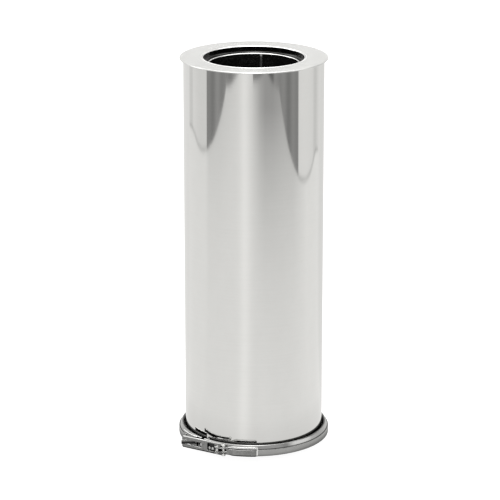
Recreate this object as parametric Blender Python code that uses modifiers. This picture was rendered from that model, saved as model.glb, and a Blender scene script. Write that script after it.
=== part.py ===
"""Insulated twin-wall flue pipe length with an over-centre locking band.

The pipe's axis is +Z, and z = 0 is the rim of its male collar, on which it stands. Azimuths are
measured from -Y towards +X. The latch is drawn in its own frame, which is tangent to the band:
x along the tangent to the right, y inwards to the pipe's axis, z up from the band's middle plane.
"""

import math

import bmesh
import bpy
from mathutils import Matrix

MM = 0.001
GAP = 0.3 * MM  # clearance between pieces that touch

# Pipe
LENGTH = 500 * MM  # from one joint plane to the other
SPIGOT_DROP = 14 * MM  # how far the male collar reaches below the joint plane
CASING_RADIUS = 90 * MM
SHEET = 0.6 * MM
SEGMENTS = 60

# End rings
RING_RADIUS = 94.6 * MM
RING_SHEET = 1.6 * MM
RING_EDGE = 0.4 * MM
SKIRT_SHEET = 0.8 * MM
SKIRT_DEPTH = 14 * MM
RING_LAND = (68 * MM, 89 * MM)  # radii between which the next length's ring bears
LAND_RISE = 0.15 * MM  # how far the land stands above the ring's inner edge and its rim

# Flue way
BORE_RADIUS = 57.5 * MM
COLLAR_SHEET = 0.8 * MM
SOCKET_RADIUS = 64.5 * MM
SOCKET_DEPTH = 8 * MM
LIP_WIDTH = 1.5 * MM
SLEEVE_LENGTH = 22 * MM
SPIGOT_INSERT = 40 * MM
SEAL_HEIGHT = 5 * MM
SEAL_WIDTH = 4 * MM
SEAL_LIP = 2.3 * MM

# Locking band
BAND_OUTER = 98.8 * MM
STRAP_SHEET = 0.8 * MM
STRAP_HALF = 4.2 * MM
STRAP_DROP = 3.4 * MM  # from the latch's middle plane down to the strap's
V_SHEET = 1.0 * MM
V_TOP = 7 * MM  # from the latch's middle plane up to the long upper lip
V_BOTTOM = -8.5 * MM  # and down to the short lower lip
V_LIP_RADIUS = 92.6 * MM
BAND_GAP = (-12.5, -9.5)  # degrees in the latch frame, from the strap's left end to its right end
BACK_JOINT = 169.0  # degrees in the latch frame, where the two V halves meet

# Latch, in its own frame: (tangent, distance from the pipe's axis)
LATCH_AZIMUTH = -38.5
LATCH_RISE = 3 * MM  # from the joint plane up to the latch's middle plane
LEVER_PIVOT = (11.5 * MM, 104.2 * MM)
LINK_PIVOT = (19.2 * MM, 101.0 * MM)
HOOKED_BAR = (-42.0 * MM, 103.6 * MM)
PIN_RADIUS = 1.5 * MM
PLATE_SHEET = 1.3 * MM
PLATE_INNER = BAND_OUTER + GAP
PLATE_OUTER = PLATE_INNER + PLATE_SHEET
CUT_HALF = 9 * MM  # half length of the cutters for pin holes
KEEPER_HALF = 7.6 * MM
KEEPER_SPAN = (-33.0, -14.5)  # degrees in the latch frame
TONGUE_HALF = 2.8 * MM
TONGUE_ROOT = -15.7  # degrees in the latch frame
TONGUE_TIP = (-3.0 * MM, 5.4 * MM)  # from the hooked bar's centre
BRACKET_HALF = 4.7 * MM
BRACKET_SPAN = (-8.0, 8.6)
EAR = (3.5 * MM, 4.7 * MM)  # nearest and furthest z of each ear
EAR_RADIUS = 3.8 * MM
EAR_SPAN = (2.6, 8.3)  # degrees in the latch frame, at the base plate
EAR_SUNK = 0.5 * MM
LINK_HALF = 7.9 * MM
LINK_SHEET = 1.6 * MM
LINK_ARM = 5.3 * MM  # nearest z of each arm
LINK_BAR = 1.5 * MM  # half width of the bar that the tongue holds
LINK_CORNER = 2.4 * MM
LINK_CROTCH = 24.2 * MM  # from the link's pin to where its two arms meet
LINK_NOOK = 1.2 * MM
LINK_SLOT_HALF = 3.2 * MM
LINK_SLOT_END = 33.4 * MM  # from the link's pin to the near end of the slot
LINK_EYE = 2.6 * MM
LEVER_OUTER = 104.5 * MM
LEVER_INNER = 99.7 * MM
LEVER_SHEET = 1.1 * MM
LEVER_START = (12.2, 13.5)  # degrees in the latch frame, of the outer and the inner edge
LEVER_END = 36.0
LEVER_HALF = (3.2 * MM, 7 * MM)  # half height at the pivot and at the grip
LEVER_NECK = (21.5 * MM, 31 * MM)  # tangent, from where the narrow part ends to the full height
LEVER_CORNER = 3.6 * MM
CHEEK_RADIUS = 3.2 * MM
RIVET_RADIUS = 1.1 * MM
RIVET_HEAD = 1.9 * MM
RIVET_RISE = 0.9 * MM
RIVET_UPSET = 0.5 * MM
RIVET_SIDES = 16
RIVETS = {  # angle and height in the latch frame
    "keeper_rivet_upper": (-28.5, -1.1 * MM),
    "keeper_rivet_lower": (-28.5, -5.3 * MM),
    "bracket_rivet_left": (-1.5, -1.9 * MM),
    "bracket_rivet_right": (1.25, -1.9 * MM),
}
PIN_END = 0.2 * MM  # how far the lever's pin stands out of the bracket
LINK_PIN_END = 0.5 * MM

JOINT_Z = SPIGOT_DROP
TOP_Z = SPIGOT_DROP + LENGTH
SLEEVE_INNER = BORE_RADIUS + SHEET + GAP
SKIRT_OUTER = CASING_RADIUS - SHEET - GAP

COLOURS = {
    "bright_steel": ((0.80, 0.79, 0.77), 0.08),
    "satin_steel": ((0.70, 0.69, 0.67), 0.25),
    "liner_steel": ((0.55, 0.54, 0.53), 0.3),
    "latch_steel": ((0.66, 0.66, 0.65), 0.22),
    "zinc_pin": ((0.75, 0.75, 0.74), 0.3),
    "mineral_wool": ((0.62, 0.56, 0.33), 0.95),
    "seal_rubber": ((0.10, 0.10, 0.11), 0.6),
}
NOT_METAL = ("mineral_wool", "seal_rubber")


def clear_scene():
    for obj in list(bpy.data.objects):
        bpy.data.objects.remove(obj, do_unlink=True)


def make_collection(name):
    collection = bpy.data.collections.new(name)
    bpy.context.scene.collection.children.link(collection)
    return collection


def make_material(name):
    colour, roughness = COLOURS[name]
    material = bpy.data.materials.new(name)
    material.use_nodes = True
    shader = material.node_tree.nodes["Principled BSDF"]
    shader.inputs["Base Color"].default_value = (*colour, 1.0)
    shader.inputs["Roughness"].default_value = roughness
    shader.inputs["Metallic"].default_value = 0.0 if name in NOT_METAL else 1.0
    return material


def make_frame(name, location=(0, 0, 0), azimuth=0.0, parent=None):
    """An empty that pieces hang on."""
    frame = bpy.data.objects.new(name, None)
    frame.location = location
    frame.rotation_euler.z = math.radians(azimuth)
    frame.parent = parent
    PARTS.objects.link(frame)
    return frame


def add_object(name, mesh, material, parent, smooth=True):
    """A named piece, or a cutter where material is None."""
    obj = bpy.data.objects.new(name, mesh)
    obj.parent = parent
    if material is None:
        CUTTERS.objects.link(obj)
        obj.hide_render = True
        obj.display_type = "WIRE"
        return obj
    PARTS.objects.link(obj)
    mesh.materials.append(MATERIALS[material])
    if smooth:
        mesh.shade_smooth()
        mesh.set_sharp_from_angle(angle=math.radians(35))
    return obj


def profile_mesh(name, points, closed):
    """A profile in the XZ plane, as a line of edges."""
    mesh = bpy.data.meshes.new(name)
    count = len(points)
    last = count if closed else count - 1
    edges = [(i, (i + 1) % count) for i in range(last)]
    mesh.from_pydata([(radius, 0, z) for radius, z in points], edges, [])
    return mesh


def screw(obj, sweep, steps):
    modifier = obj.modifiers.new("Turn", "SCREW")
    modifier.axis = "Z"
    modifier.angle = math.radians(sweep)
    modifier.steps = steps
    modifier.render_steps = steps
    modifier.use_merge_vertices = sweep == 360
    modifier.merge_threshold = 0.00001
    modifier.use_smooth_shade = True


def turned(name, points, material, parent):
    """A full turn of a closed profile, which runs down its outer side and up its inner side."""
    obj = add_object(name, profile_mesh(name, points, True), material, parent, smooth=False)
    screw(obj, 360, SEGMENTS)
    return obj


def rolled(name, points, thickness, material, parent, start=0.0, sweep=360.0):
    """Sheet of one thickness: its outer side, turned from azimuth start through sweep degrees."""
    obj = add_object(name, profile_mesh(name, points, False), material, parent, smooth=False)
    obj.rotation_euler.z = math.radians(start - 90)
    screw(obj, sweep, round(SEGMENTS * sweep / 360))
    modifier = obj.modifiers.new("Sheet", "SOLIDIFY")
    modifier.thickness = thickness
    modifier.offset = -1
    modifier.use_even_offset = True
    return obj


def arc(centre, radius, start, end, steps):
    """Points on an arc in the latch frame; angles in degrees from outward, clockwise from above."""
    points = []
    for i in range(steps + 1):
        angle = math.radians(start + (end - start) * i / steps)
        across = centre[0] + radius * math.sin(angle)
        out = centre[1] + radius * math.cos(angle)
        points.append((across, out))
    return points


def plate(name, outline, low, high, material, parent, seen_along="z"):
    """A flat outline as a solid between two depths.

    Along z the outline is (tangent, distance out); along y it is (tangent, height).
    """
    curve = bpy.data.curves.new(name, "CURVE")
    curve.dimensions = "2D"
    curve.fill_mode = "BOTH"
    curve.extrude = (high - low) / 2
    spline = curve.splines.new("POLY")
    spline.points.add(len(outline) - 1)
    for point, (across, other) in zip(spline.points, outline):
        point.co = (across, -other if seen_along == "z" else other, 0, 1)
    spline.use_cyclic_u = True
    guide = bpy.data.objects.new(name + "_outline", curve)
    CUTTERS.objects.link(guide)
    graph = bpy.context.evaluated_depsgraph_get()
    mesh = bpy.data.meshes.new_from_object(guide.evaluated_get(graph))
    bpy.data.objects.remove(guide)
    middle = (low + high) / 2
    if seen_along == "z":
        place = Matrix.Translation((0, 0, middle))
    else:
        place = Matrix.Translation((0, -middle, 0)) @ Matrix.Rotation(math.pi / 2, 4, "X")
    mesh.transform(place)
    solid = bmesh.new()
    solid.from_mesh(mesh)
    bmesh.ops.remove_doubles(solid, verts=solid.verts, dist=0.000001)
    bmesh.ops.recalc_face_normals(solid, faces=solid.faces)
    solid.to_mesh(mesh)
    solid.free()
    mesh.name = name
    return add_object(name, mesh, material, parent)


def cylinder(name, radius, low, high, place, material, parent, sides=16):
    """A round bar along the z of the matrix place."""
    mesh = bpy.data.meshes.new(name)
    solid = bmesh.new()
    bmesh.ops.create_cone(
        solid,
        cap_ends=True,
        segments=sides,
        radius1=radius,
        radius2=radius,
        depth=high - low,
        matrix=place @ Matrix.Translation((0, 0, (low + high) / 2)),
    )
    solid.to_mesh(mesh)
    solid.free()
    return add_object(name, mesh, material, parent)


def combine(obj, other, operation):
    modifier = obj.modifiers.new(operation.title(), "BOOLEAN")
    modifier.operation = operation
    modifier.solver = "EXACT"
    modifier.object = other


def at(point):
    """The matrix of a vertical axis through a point of the latch frame."""
    return Matrix.Translation((point[0], -point[1], 0))


def outward(angle, height):
    """The matrix whose z points out from the pipe's axis, at an angle and height of the latch."""
    turn = Matrix.Rotation(math.radians(angle), 4, "Z")
    return turn @ Matrix.Translation((0, 0, height)) @ Matrix.Rotation(math.pi / 2, 4, "X")


def rectangle(left, right, low, high):
    return [(left, low), (right, low), (right, high), (left, high)]


def end_ring(name, face, way, inner, parent):
    """Flat ring with its joint face at z = face, looking way (+1 up), and a skirt in the casing."""
    profile = [
        (RING_RADIUS - RING_EDGE, LAND_RISE),
        (RING_RADIUS, RING_EDGE),
        (RING_RADIUS, RING_SHEET - RING_EDGE),
        (RING_RADIUS - RING_EDGE, RING_SHEET),
        (SKIRT_OUTER, RING_SHEET),
        (SKIRT_OUTER, SKIRT_DEPTH),
        (SKIRT_OUTER - SKIRT_SHEET, SKIRT_DEPTH),
        (SKIRT_OUTER - SKIRT_SHEET, RING_SHEET),
        (inner, RING_SHEET),
        (inner, LAND_RISE),
        (RING_LAND[0], 0),
        (RING_LAND[1], 0),
    ]
    points = [(radius, face - way * depth) for radius, depth in profile]
    if way < 0:
        points.reverse()
    return turned(name, points, "satin_steel", parent)


def socket_collar(parent):
    """Female collar: a rolled lip, the socket's wall, its shoulder and a sleeve over the liner."""
    lip = SOCKET_RADIUS + LIP_WIDTH
    wall = SOCKET_RADIUS + COLLAR_SHEET
    shoulder = SOCKET_DEPTH + COLLAR_SHEET
    nose = 0.4 * MM
    profile = [
        (lip, nose),
        (lip, COLLAR_SHEET + nose),
        (wall, COLLAR_SHEET + nose),
        (wall, shoulder),
        (SLEEVE_INNER + COLLAR_SHEET, shoulder),
        (SLEEVE_INNER + COLLAR_SHEET, shoulder + SLEEVE_LENGTH),
        (SLEEVE_INNER, shoulder + SLEEVE_LENGTH),
        (SLEEVE_INNER, shoulder),
        (BORE_RADIUS, shoulder),
        (BORE_RADIUS, SOCKET_DEPTH + nose),
        (BORE_RADIUS + nose, SOCKET_DEPTH),
        (SOCKET_RADIUS - 2 * nose, SOCKET_DEPTH),
        (SOCKET_RADIUS, SOCKET_DEPTH - 2 * nose),
        (SOCKET_RADIUS, 2 * nose),
        (SOCKET_RADIUS + nose, 0),
        (lip - nose, 0),
    ]
    points = [(radius, TOP_Z - depth) for radius, depth in profile]
    return turned("socket_collar", points, "bright_steel", parent)


def spigot_collar(parent):
    """Male collar, slipped into the liner, with a lead-in at its rim."""
    outer = BORE_RADIUS - GAP
    inner = outer - COLLAR_SHEET
    lead = 0.3 * MM
    points = [
        (outer, JOINT_Z + SPIGOT_INSERT),
        (outer, 5 * lead),
        (outer - lead, 0),
        (inner, 0),
        (inner, JOINT_Z + SPIGOT_INSERT),
    ]
    return turned("spigot_collar", points, "liner_steel", parent)


def spigot_seal(parent):
    """Sealing ring round the male collar, with two outer lips."""
    inner = BORE_RADIUS
    root = inner + SEAL_WIDTH
    tip = root + SEAL_LIP
    top = JOINT_Z - GAP
    fifth = SEAL_HEIGHT / 5
    points = [
        (root, top),
        (tip, top - fifth),
        (root, top - 2 * fifth),
        (root, top - 3 * fifth),
        (tip, top - 4 * fifth),
        (root, top - SEAL_HEIGHT),
        (inner, top - SEAL_HEIGHT),
        (inner, top),
    ]
    return turned("spigot_seal", points, "seal_rubber", parent)


def make_pipe(parent):
    casing = [
        (CASING_RADIUS, TOP_Z - RING_SHEET - GAP),
        (CASING_RADIUS, JOINT_Z + RING_SHEET + GAP),
    ]
    rolled("outer_casing", casing, SHEET, "bright_steel", parent)
    end_ring("top_end_ring", TOP_Z, 1, SOCKET_RADIUS + LIP_WIDTH + GAP, parent)
    end_ring("bottom_end_ring", JOINT_Z, -1, SLEEVE_INNER, parent)
    socket_collar(parent)
    liner_top = TOP_Z - SOCKET_DEPTH - COLLAR_SHEET - GAP
    liner = [(BORE_RADIUS + SHEET, liner_top), (BORE_RADIUS + SHEET, JOINT_Z)]
    rolled("inner_liner", liner, SHEET, "liner_steel", parent)
    spigot_collar(parent)
    spigot_seal(parent)
    make_insulation(parent, liner_top)


def make_insulation(parent, top):
    """Two half shells of wool between the liner's sleeve and the end rings' skirts."""
    inner = SLEEVE_INNER + COLLAR_SHEET + GAP
    outer = SKIRT_OUTER - SKIRT_SHEET - GAP
    bottom = JOINT_Z + RING_SHEET + GAP
    slit = math.degrees(GAP / inner)
    for name, middle in (("insulation_left", -90.0), ("insulation_right", 90.0)):
        start = middle - 90 + slit
        end = middle + 90 - slit
        half = arc((0, 0), outer, start, end, SEGMENTS // 2)
        half += arc((0, 0), inner, end, start, SEGMENTS // 2)
        plate(name, half, bottom, top, "mineral_wool", parent)


def v_profile():
    """Outer side of the band's section: a long sloping upper lip, a short flat lower one."""
    apex = BAND_OUTER - STRAP_SHEET - GAP
    foot = STRAP_HALF - 0.2 * MM
    upper = [
        (V_LIP_RADIUS, V_TOP - 0.4 * MM),
        (V_LIP_RADIUS + 0.6 * MM, V_TOP),
        (V_LIP_RADIUS + 1.4 * MM, V_TOP - 0.2 * MM),
        (apex - 0.5 * MM, foot - STRAP_DROP + 1.0 * MM),
        (apex, foot - STRAP_DROP),
    ]
    lower = [
        (apex, -foot - STRAP_DROP),
        (apex - 0.8 * MM, V_BOTTOM + 0.3 * MM),
        (V_LIP_RADIUS + 0.6 * MM, V_BOTTOM),
        (V_LIP_RADIUS, V_BOTTOM + 0.5 * MM),
    ]
    return upper + lower


def rivet(name, angle, height, parent):
    """Dome-headed rivet through a latch plate, the strap and the V section."""
    inside = BAND_OUTER - STRAP_SHEET - V_SHEET - 2 * GAP
    head = PLATE_OUTER + GAP
    points = [
        (0, head + RIVET_RISE),
        (RIVET_HEAD * 0.45, head + RIVET_RISE),
        (RIVET_HEAD * 0.85, head + RIVET_RISE * 0.6),
        (RIVET_HEAD, head),
        (RIVET_RADIUS, head),
        (RIVET_RADIUS, inside),
        (RIVET_RADIUS + RIVET_UPSET, inside),
        (RIVET_RADIUS + RIVET_UPSET, inside - RIVET_UPSET),
        (0, inside - RIVET_UPSET),
    ]
    mesh = profile_mesh(name, points, False)
    obj = add_object(name, mesh, "zinc_pin", parent, smooth=False)
    screw(obj, 360, RIVET_SIDES)
    obj.matrix_local = outward(angle, height)


def drill_rivet_holes(obj, plate_name, parent):
    """Holes for the rivets that hold the keeper or the bracket."""
    low = PLATE_OUTER - 6 * MM
    high = PLATE_OUTER + MM
    for name, (angle, height) in RIVETS.items():
        if name.startswith(plate_name):
            place = outward(angle, height)
            hole_name = f"hole_{obj.name}_{name}"
            hole = cylinder(hole_name, RIVET_RADIUS + GAP, low, high, place, None, parent)
            combine(obj, hole, "DIFFERENCE")


def drill_pin_hole(obj, name, point, parent):
    hole = cylinder(name, PIN_RADIUS + GAP, -CUT_HALF, CUT_HALF, at(point), None, parent)
    combine(obj, hole, "DIFFERENCE")


def pin(name, point, half_length, parent):
    """A vertical pin, with its origin on its own axis."""
    bar = cylinder(
        name, PIN_RADIUS, -half_length, half_length, Matrix.Identity(4), "zinc_pin", parent
    )
    bar.matrix_local = at(point)


def make_band(frame):
    """Strap and V halves, open at the latch, with the rivets that hold the latch plates."""
    left_end, right_end = BAND_GAP
    strap_line = [(BAND_OUTER, side * STRAP_HALF - STRAP_DROP) for side in (1, -1)]
    strap_sweep = 360 - (right_end - left_end)
    strap = rolled(
        "band_strap", strap_line, STRAP_SHEET, "satin_steel", frame, right_end, strap_sweep
    )
    slit = math.degrees(MM / BAND_OUTER)
    right = rolled(
        "v_retainer_right",
        v_profile(),
        V_SHEET,
        "satin_steel",
        frame,
        right_end,
        BACK_JOINT - slit - right_end,
    )
    left = rolled(
        "v_retainer_left",
        v_profile(),
        V_SHEET,
        "satin_steel",
        frame,
        BACK_JOINT + slit,
        360 + left_end - BACK_JOINT - slit,
    )
    for plate_name, v_half in (("keeper", left), ("bracket", right)):
        drill_rivet_holes(strap, plate_name, frame)
        drill_rivet_holes(v_half, plate_name, frame)
    for name, (angle, height) in RIVETS.items():
        rivet(name, angle, height, frame)


def curved_plate_outline(span, steps=8):
    """Side view of a plate that lies on the strap."""
    start, end = span
    outer = arc((0, 0), PLATE_OUTER, start, end, steps)
    inner = arc((0, 0), PLATE_INNER, end, start, steps)
    return outer + inner


def on_arc(radius, angle):
    """One point in the latch frame."""
    return arc((0, 0), radius, angle, angle, 1)[0]


def tongue_outline():
    """Side view of the keeper's tongue: a straight strip with round ends, rising to the left."""
    root = on_arc((PLATE_OUTER + PLATE_INNER) / 2, TONGUE_ROOT)
    tip = (HOOKED_BAR[0] + TONGUE_TIP[0], HOOKED_BAR[1] + TONGUE_TIP[1])
    lean = math.degrees(math.atan2(tip[0] - root[0], tip[1] - root[1]))
    half = PLATE_SHEET / 2
    tip_end = arc(tip, half, lean + 90, lean - 90, 6)
    root_end = arc(root, half, lean - 90, lean - 270, 6)
    return tip_end + root_end


def make_keeper(frame):
    """Base plate on the strap's left end, folded back into a tongue that hooks the link's bar."""
    keeper = plate(
        "keeper_hook",
        curved_plate_outline(KEEPER_SPAN),
        -KEEPER_HALF,
        KEEPER_HALF,
        "latch_steel",
        frame,
    )
    tongue = plate("keeper_tongue", tongue_outline(), -TONGUE_HALF, TONGUE_HALF, None, frame)
    combine(keeper, tongue, "UNION")
    drill_rivet_holes(keeper, "keeper", frame)


def ear_outline():
    """An ear of the lever bracket: round at the pivot, widening down into the base plate."""
    left, right = (on_arc(PLATE_OUTER - EAR_SUNK, angle) for angle in EAR_SPAN)
    return [left] + arc(LEVER_PIVOT, EAR_RADIUS, -95, 95, 10) + [right]


def make_bracket(frame):
    """Base plate on the strap's right end, with two ears that carry the lever's pin."""
    bracket = plate(
        "lever_bracket",
        curved_plate_outline(BRACKET_SPAN),
        -BRACKET_HALF,
        BRACKET_HALF,
        "latch_steel",
        frame,
    )
    near, far = EAR
    for name, low, high in (("upper", near, far), ("lower", -far, -near)):
        ear = plate(f"ear_{name}", ear_outline(), low, high, None, frame)
        combine(bracket, ear, "UNION")
    drill_pin_hole(bracket, "hole_bracket_pin", LEVER_PIVOT, frame)
    drill_rivet_holes(bracket, "bracket", frame)
    pin("lever_pivot_pin", LEVER_PIVOT, far + PIN_END, frame)


def lever_side():
    """Side view of the lever: an arched grip with a knuckle at its pivots."""
    outer = arc((0, 0), LEVER_OUTER, LEVER_START[0], LEVER_END, 12)
    inner = arc((0, 0), LEVER_INNER, LEVER_END, LEVER_START[1], 12)
    knuckle = arc(LINK_PIVOT, LINK_EYE, 150, 200, 4)
    cheek = arc(LEVER_PIVOT, CHEEK_RADIUS, 215, 370, 10)
    return outer + inner + knuckle + cheek


def hollow_side():
    """Side view of the hollow under the lever's back, which runs out below and past its end."""
    beyond = LEVER_END + 2
    outer = arc((0, 0), LEVER_OUTER - LEVER_SHEET, LEVER_START[0], beyond, 12)
    inner = arc((0, 0), LEVER_INNER - 2 * MM, beyond, LEVER_START[1], 12)
    return outer + inner


def lever_plan(inset, end, corner):
    """Front view of the lever: narrow at the pivot, wider at the grip, which has round corners."""
    near, far = (half - inset for half in LEVER_HALF)
    neck, shoulder = LEVER_NECK
    upper = [(LEVER_PIVOT[0] - 2 * CHEEK_RADIUS, near), (neck, near), (shoulder, far)]
    upper += arc((end - corner, far - corner), corner, 0, 90, 6)
    return upper + [(across, -height) for across, height in reversed(upper)]


def on_own_origin(obj, point):
    """Moves an object's origin to a point of the latch frame, leaving its shape in place."""
    shift = at(point)
    obj.data.transform(shift.inverted())
    obj.matrix_basis = shift @ obj.matrix_basis


def make_lever(frame):
    """U-channel lever that lies on the band, with two cheeks on the bracket's pin."""
    low, high = 70 * MM, 120 * MM  # depths of the cutters that are seen from the front
    near, half = LEVER_HALF
    end = LEVER_OUTER * math.sin(math.radians(LEVER_END))
    lever = plate("latch_lever", lever_side(), -half, half, "latch_steel", frame)
    plan = plate("lever_plan", lever_plan(0, end, LEVER_CORNER), low, high, None, frame, "y")
    combine(lever, plan, "INTERSECT")
    hollow = plate("lever_hollow", hollow_side(), -half, half, None, frame)
    hollow_plan = plate(
        "lever_hollow_plan", lever_plan(LEVER_SHEET, end + MM, GAP), low, high, None, frame, "y"
    )
    combine(hollow, hollow_plan, "INTERSECT")
    combine(lever, hollow, "DIFFERENCE")
    slot_half = near - LEVER_SHEET
    mouth = rectangle(5 * MM, 24 * MM, 90 * MM, 112 * MM)  # the open end between the cheeks
    slot = plate("lever_slot", mouth, -slot_half, slot_half, None, frame)
    combine(lever, slot, "DIFFERENCE")
    drill_pin_hole(lever, "hole_lever_pivot", LEVER_PIVOT, frame)
    drill_pin_hole(lever, "hole_lever_link", LINK_PIVOT, frame)
    on_own_origin(lever, LEVER_PIVOT)
    pin("link_pin", LINK_PIVOT, LINK_HALF + LINK_PIN_END, frame)


def link_plan(length):
    """Front view of the link, from its bar on the left to the ends of its two arms."""
    left = -length - LINK_BAR
    centre = (left + LINK_CORNER, LINK_HALF - LINK_CORNER)
    upper = [(0, LINK_ARM), (0, LINK_HALF)] + arc(centre, LINK_CORNER, 0, -90, 5)
    lower = [(across, -height) for across, height in reversed(upper)]
    inside = [
        (LINK_NOOK - LINK_CROTCH, -LINK_ARM),
        (-LINK_CROTCH, LINK_NOOK - LINK_ARM),
        (-LINK_CROTCH, LINK_ARM - LINK_NOOK),
        (LINK_NOOK - LINK_CROTCH, LINK_ARM),
    ]
    return upper + lower + inside


def make_link(frame):
    """Slotted link: a bar under the keeper's tongue at one end, two rolled eyes at the other."""
    across = HOOKED_BAR[0] - LINK_PIVOT[0]
    out = HOOKED_BAR[1] - LINK_PIVOT[1]
    length = math.hypot(across, out)
    half = LINK_SHEET / 2
    link = plate("draw_link", link_plan(length), -half, half, "latch_steel", frame, "y")
    link.location = at(LINK_PIVOT).to_translation()
    link.rotation_euler.z = math.atan2(out, -across)
    slot = rectangle(LINK_BAR - length, -LINK_SLOT_END, -LINK_SLOT_HALF, LINK_SLOT_HALF)
    cutter = plate("link_slot", slot, -LINK_SHEET, LINK_SHEET, None, link, "y")
    combine(link, cutter, "DIFFERENCE")
    for name, low, high in (("upper", LINK_ARM, LINK_HALF), ("lower", -LINK_HALF, -LINK_ARM)):
        eye = cylinder(f"eye_{name}", LINK_EYE, low, high, Matrix.Identity(4), None, link)
        combine(link, eye, "UNION")
    drill_pin_hole(link, "hole_link", (0, 0), link)


clear_scene()
PARTS = make_collection("twin_wall_pipe")
CUTTERS = make_collection("cutters")
MATERIALS = {name: make_material(name) for name in COLOURS}

pipe_axis = make_frame("pipe_axis")
make_pipe(pipe_axis)
latch_frame = make_frame("latch_frame", (0, 0, JOINT_Z + LATCH_RISE), LATCH_AZIMUTH, pipe_axis)
make_band(latch_frame)
make_keeper(latch_frame)
make_bracket(latch_frame)
make_lever(latch_frame)
make_link(latch_frame)
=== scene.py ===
"""Looks of the insulated flue pipe length with its locking band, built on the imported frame."""

import math

import bmesh
import bpy
import numpy as np
from mathutils import Matrix, Vector


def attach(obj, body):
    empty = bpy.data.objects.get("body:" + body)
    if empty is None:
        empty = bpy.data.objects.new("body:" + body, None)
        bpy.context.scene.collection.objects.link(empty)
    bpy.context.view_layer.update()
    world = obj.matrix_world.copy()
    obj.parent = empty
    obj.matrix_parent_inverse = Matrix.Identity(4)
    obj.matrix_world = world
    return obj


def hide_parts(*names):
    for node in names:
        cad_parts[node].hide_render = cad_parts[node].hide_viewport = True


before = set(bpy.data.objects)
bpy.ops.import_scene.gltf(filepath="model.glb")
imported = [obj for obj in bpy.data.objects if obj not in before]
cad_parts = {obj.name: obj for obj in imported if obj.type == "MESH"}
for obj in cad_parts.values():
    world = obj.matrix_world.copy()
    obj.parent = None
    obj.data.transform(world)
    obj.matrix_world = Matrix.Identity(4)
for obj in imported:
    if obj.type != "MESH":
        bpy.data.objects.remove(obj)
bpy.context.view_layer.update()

MM = 0.001

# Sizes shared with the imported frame, in millimetres
JOINT_Z = 14.0
TOP_Z = 514.0
CASING_RADIUS = 90.0
SHEET = 0.6
RING_RADIUS = 94.6
RING_SHEET = 1.6
SKIRT_OUTER = 89.1
SKIRT_INNER = 88.3
SKIRT_DEPTH = 14.0
RING_POLISH = 1.2
BORE_RADIUS = 57.5
SOCKET_RADIUS = 64.5
SOCKET_DEPTH = 8.0
COLLAR_SHEET = 0.8
LIP_RADIUS = 66.0
FIT_GAP = 0.3
LINER_SEAM = 165.1
CASING_SEAM = 137.0
SLEEVE_INNER = 58.4
SLEEVE_LENGTH = 22.0
SPIGOT_OUTER = 57.2
SPIGOT_TOP = 54.0
SEAL_ROOT = 61.5
SEAL_TIP = 63.8
BAND_OUTER = 98.8
STRAP_SHEET = 0.8
STRAP_SPAN = (9.2, 17.6)
V_SHEET = 1.0
V_SPAN = (8.5, 24.0)
V_APEX = 97.7
LATCH_Z = 17.0
LATCH_AZIMUTH = -38.5
BAND_GAP = (-12.5, -9.5)
BACK_JOINT = 169.0
PLATE_OUTER = 100.4
LEVER_PIVOT = (11.5, 104.2)
LINK_PIVOT = (19.2, 101.0)
LINK_EYE = 2.6
LEVER_OUTER = 104.5
PIN_RADIUS = 1.5
LEVER_PIN_HALF = 4.9
LINK_PIN_HALF = 8.4
RIVET_HEAD = 1.9
RIVET_SHANK = 1.1
RIVETS = {  # angle and height in the latch's own frame
    "keeper_rivet_upper": (-28.5, -1.1),
    "keeper_rivet_lower": (-28.5, -5.3),
    "bracket_rivet_left": (-1.5, -1.9),
    "bracket_rivet_right": (1.25, -1.9),
}
WELD_SPOT = (-28.4, 4.3)

# Camera and studio
CAMERA_AZIMUTH = -5.5
CAMERA_DISTANCE = 3.108
CAMERA_HEIGHT = 1.193
CAMERA_PITCH = 16.75
CAMERA_YAW = 0.0894
CAMERA_LENS = 179.9


# ---------------------------------------------------------------- blends

def smooth_step(low, high, value):
    """0 below low, 1 above high, and a smooth rise between them."""
    t = np.clip((value - low) / (high - low), 0, 1)
    return t * t * (3 - 2 * t)


def between(low, high, soft, value):
    """1 inside low to high, with soft edges."""
    rise = smooth_step(low - soft, low + soft, value)
    return rise * (1 - smooth_step(high - soft, high + soft, value))


# ---------------------------------------------------------------- geometry

def on_turn(radius, azimuth, z):
    """World point in metres; azimuth in degrees from -Y towards +X."""
    angle = math.radians(azimuth)
    return Vector((radius * math.sin(angle), -radius * math.cos(angle), z)) * MM


def new_object(name, mesh, material, body):
    """An object of one material that moves with a body."""
    obj = bpy.data.objects.new(name, mesh)
    bpy.context.scene.collection.objects.link(obj)
    mesh.materials.append(material)
    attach(obj, body)
    return obj


def finish_mesh(name, solid, sharp=40.0):
    """A smooth-shaded mesh, with edges sharper than an angle in degrees kept crisp."""
    bmesh.ops.recalc_face_normals(solid, faces=solid.faces)
    mesh = bpy.data.meshes.new(name)
    solid.to_mesh(mesh)
    solid.free()
    mesh.shade_smooth()
    mesh.set_sharp_from_angle(angle=math.radians(sharp))
    return mesh


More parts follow.
